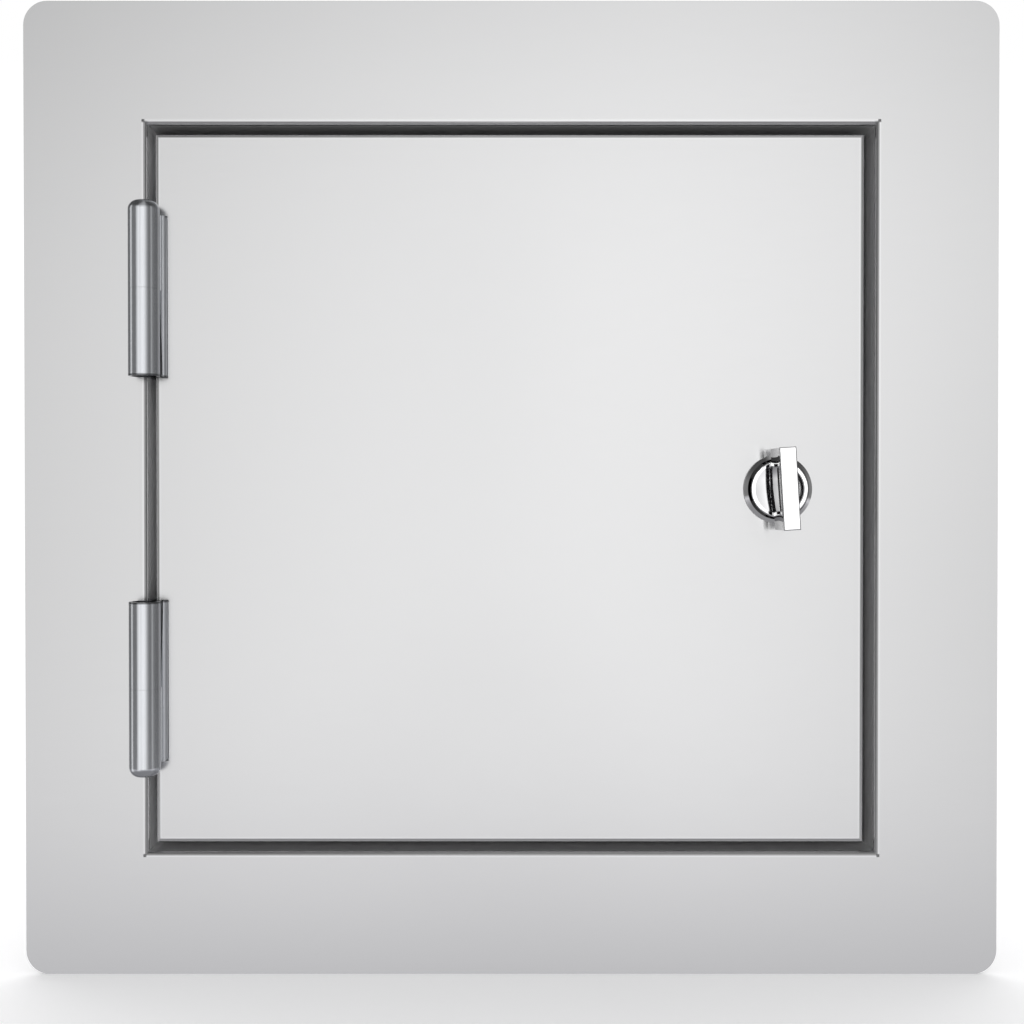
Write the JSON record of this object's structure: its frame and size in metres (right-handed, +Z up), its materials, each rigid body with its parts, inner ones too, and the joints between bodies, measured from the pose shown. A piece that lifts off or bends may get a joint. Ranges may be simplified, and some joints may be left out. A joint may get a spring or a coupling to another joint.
{
  "type": "utility access door",
  "caption": "Square flush access door in a flat flanged frame, hung on exposed barrel hinges and held by a quarter-turn wing latch.",
  "frame": {"origin": "centre of the wall cut-out, on the plane of the flange's back face", "axes": "+X to the right seen from the front, +Y into the wall, +Z up; the front faces -Y"},
  "size_m": [0.3048, 0.0628, 0.3048],
  "materials": {
    "satin_steel": "satin stainless",
    "polished_steel": "polished stainless",
    "chrome": "bright chrome plate",
    "black_rubber": "matt black",
    "plated_steel": "zinc plated"
  },
  "bodies": {
    "frame": {"frame": "satin_steel", "stop_bottom": "satin_steel", "stop_left": "satin_steel", "stop_top": "satin_steel", "stop_right": "satin_steel", "seal_bottom": "black_rubber", "seal_left": "black_rubber", "seal_top": "black_rubber", "seal_right": "black_rubber", "stop_rivets": "plated_steel", "upper_hinge_frame_leaf": "polished_steel", "upper_hinge_rivets": "plated_steel", "upper_hinge_pin": "polished_steel", "upper_hinge_washer": "polished_steel", "lower_hinge_frame_leaf": "polished_steel", "lower_hinge_rivets": "plated_steel", "lower_hinge_pin": "polished_steel", "lower_hinge_washer": "polished_steel"},
    "door": {"door_skin": "satin_steel", "door_liner": "satin_steel", "liner_screws": "plated_steel", "upper_hinge_door_leaf": "polished_steel", "upper_hinge_studs": "plated_steel", "upper_hinge_stud_washers": "plated_steel", "upper_hinge_stud_nuts": "plated_steel", "lower_hinge_door_leaf": "polished_steel", "lower_hinge_studs": "plated_steel", "lower_hinge_stud_washers": "plated_steel", "lower_hinge_stud_nuts": "plated_steel", "latch_housing": "chrome", "latch_gasket": "black_rubber", "latch_lock_washer": "plated_steel", "latch_nut": "plated_steel"},
    "latch": {"wing_knob": "chrome", "spindle_ring": "black_rubber", "latch_cam": "plated_steel", "cam_washer": "plated_steel", "cam_screw": "plated_steel"}
  },
  "joints": [
    {"name": "door_swing", "type": "hinge", "parent": "frame", "child": "door", "pos_m": [-0.11355, -0.0064, 0], "axis": [0, 0, -1], "range_deg": [0, 170]},
    {"name": "latch_turn", "type": "hinge", "parent": "door", "child": "latch", "pos_m": [0.08335, -0.001, 0], "axis": [0, -1, 0], "range_deg": [-3.4, 86.6]}
  ]
}
